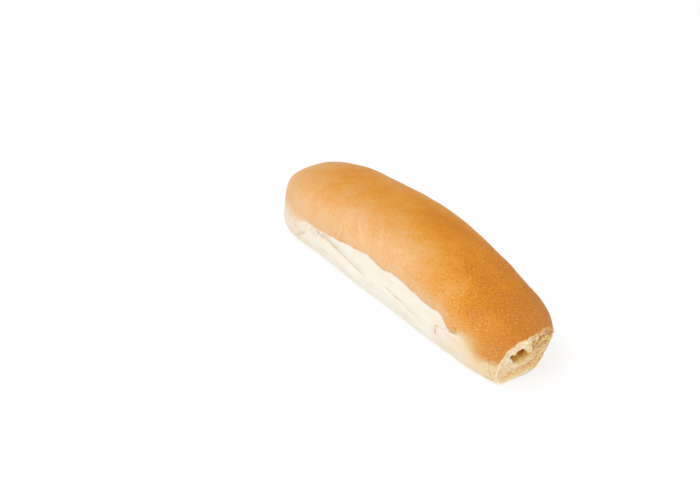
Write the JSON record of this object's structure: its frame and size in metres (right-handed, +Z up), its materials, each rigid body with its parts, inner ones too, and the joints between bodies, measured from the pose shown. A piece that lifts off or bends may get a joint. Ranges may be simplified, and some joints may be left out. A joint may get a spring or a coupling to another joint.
{
  "type": "hot dog bun",
  "caption": "Soft white hot dog bun with a round shut end, a cut end, and a flattened hollow bored in from the cut to hold a sausage.",
  "frame": {"origin": "on the surface the bun rests on, under the middle of its box", "axes": "+X along the bun towards its cut end, +Y towards the flank away from the picture's camera, +Z up"},
  "size_m": [0.184, 0.0574, 0.0468],
  "materials": {
    "bread": "soft golden-brown crust with a faint satin sheen, matt cream flanks and open white crumb at the cut"
  },
  "bodies": {
    "root": {"bun": "bread"}
  },
  "joints": []
}
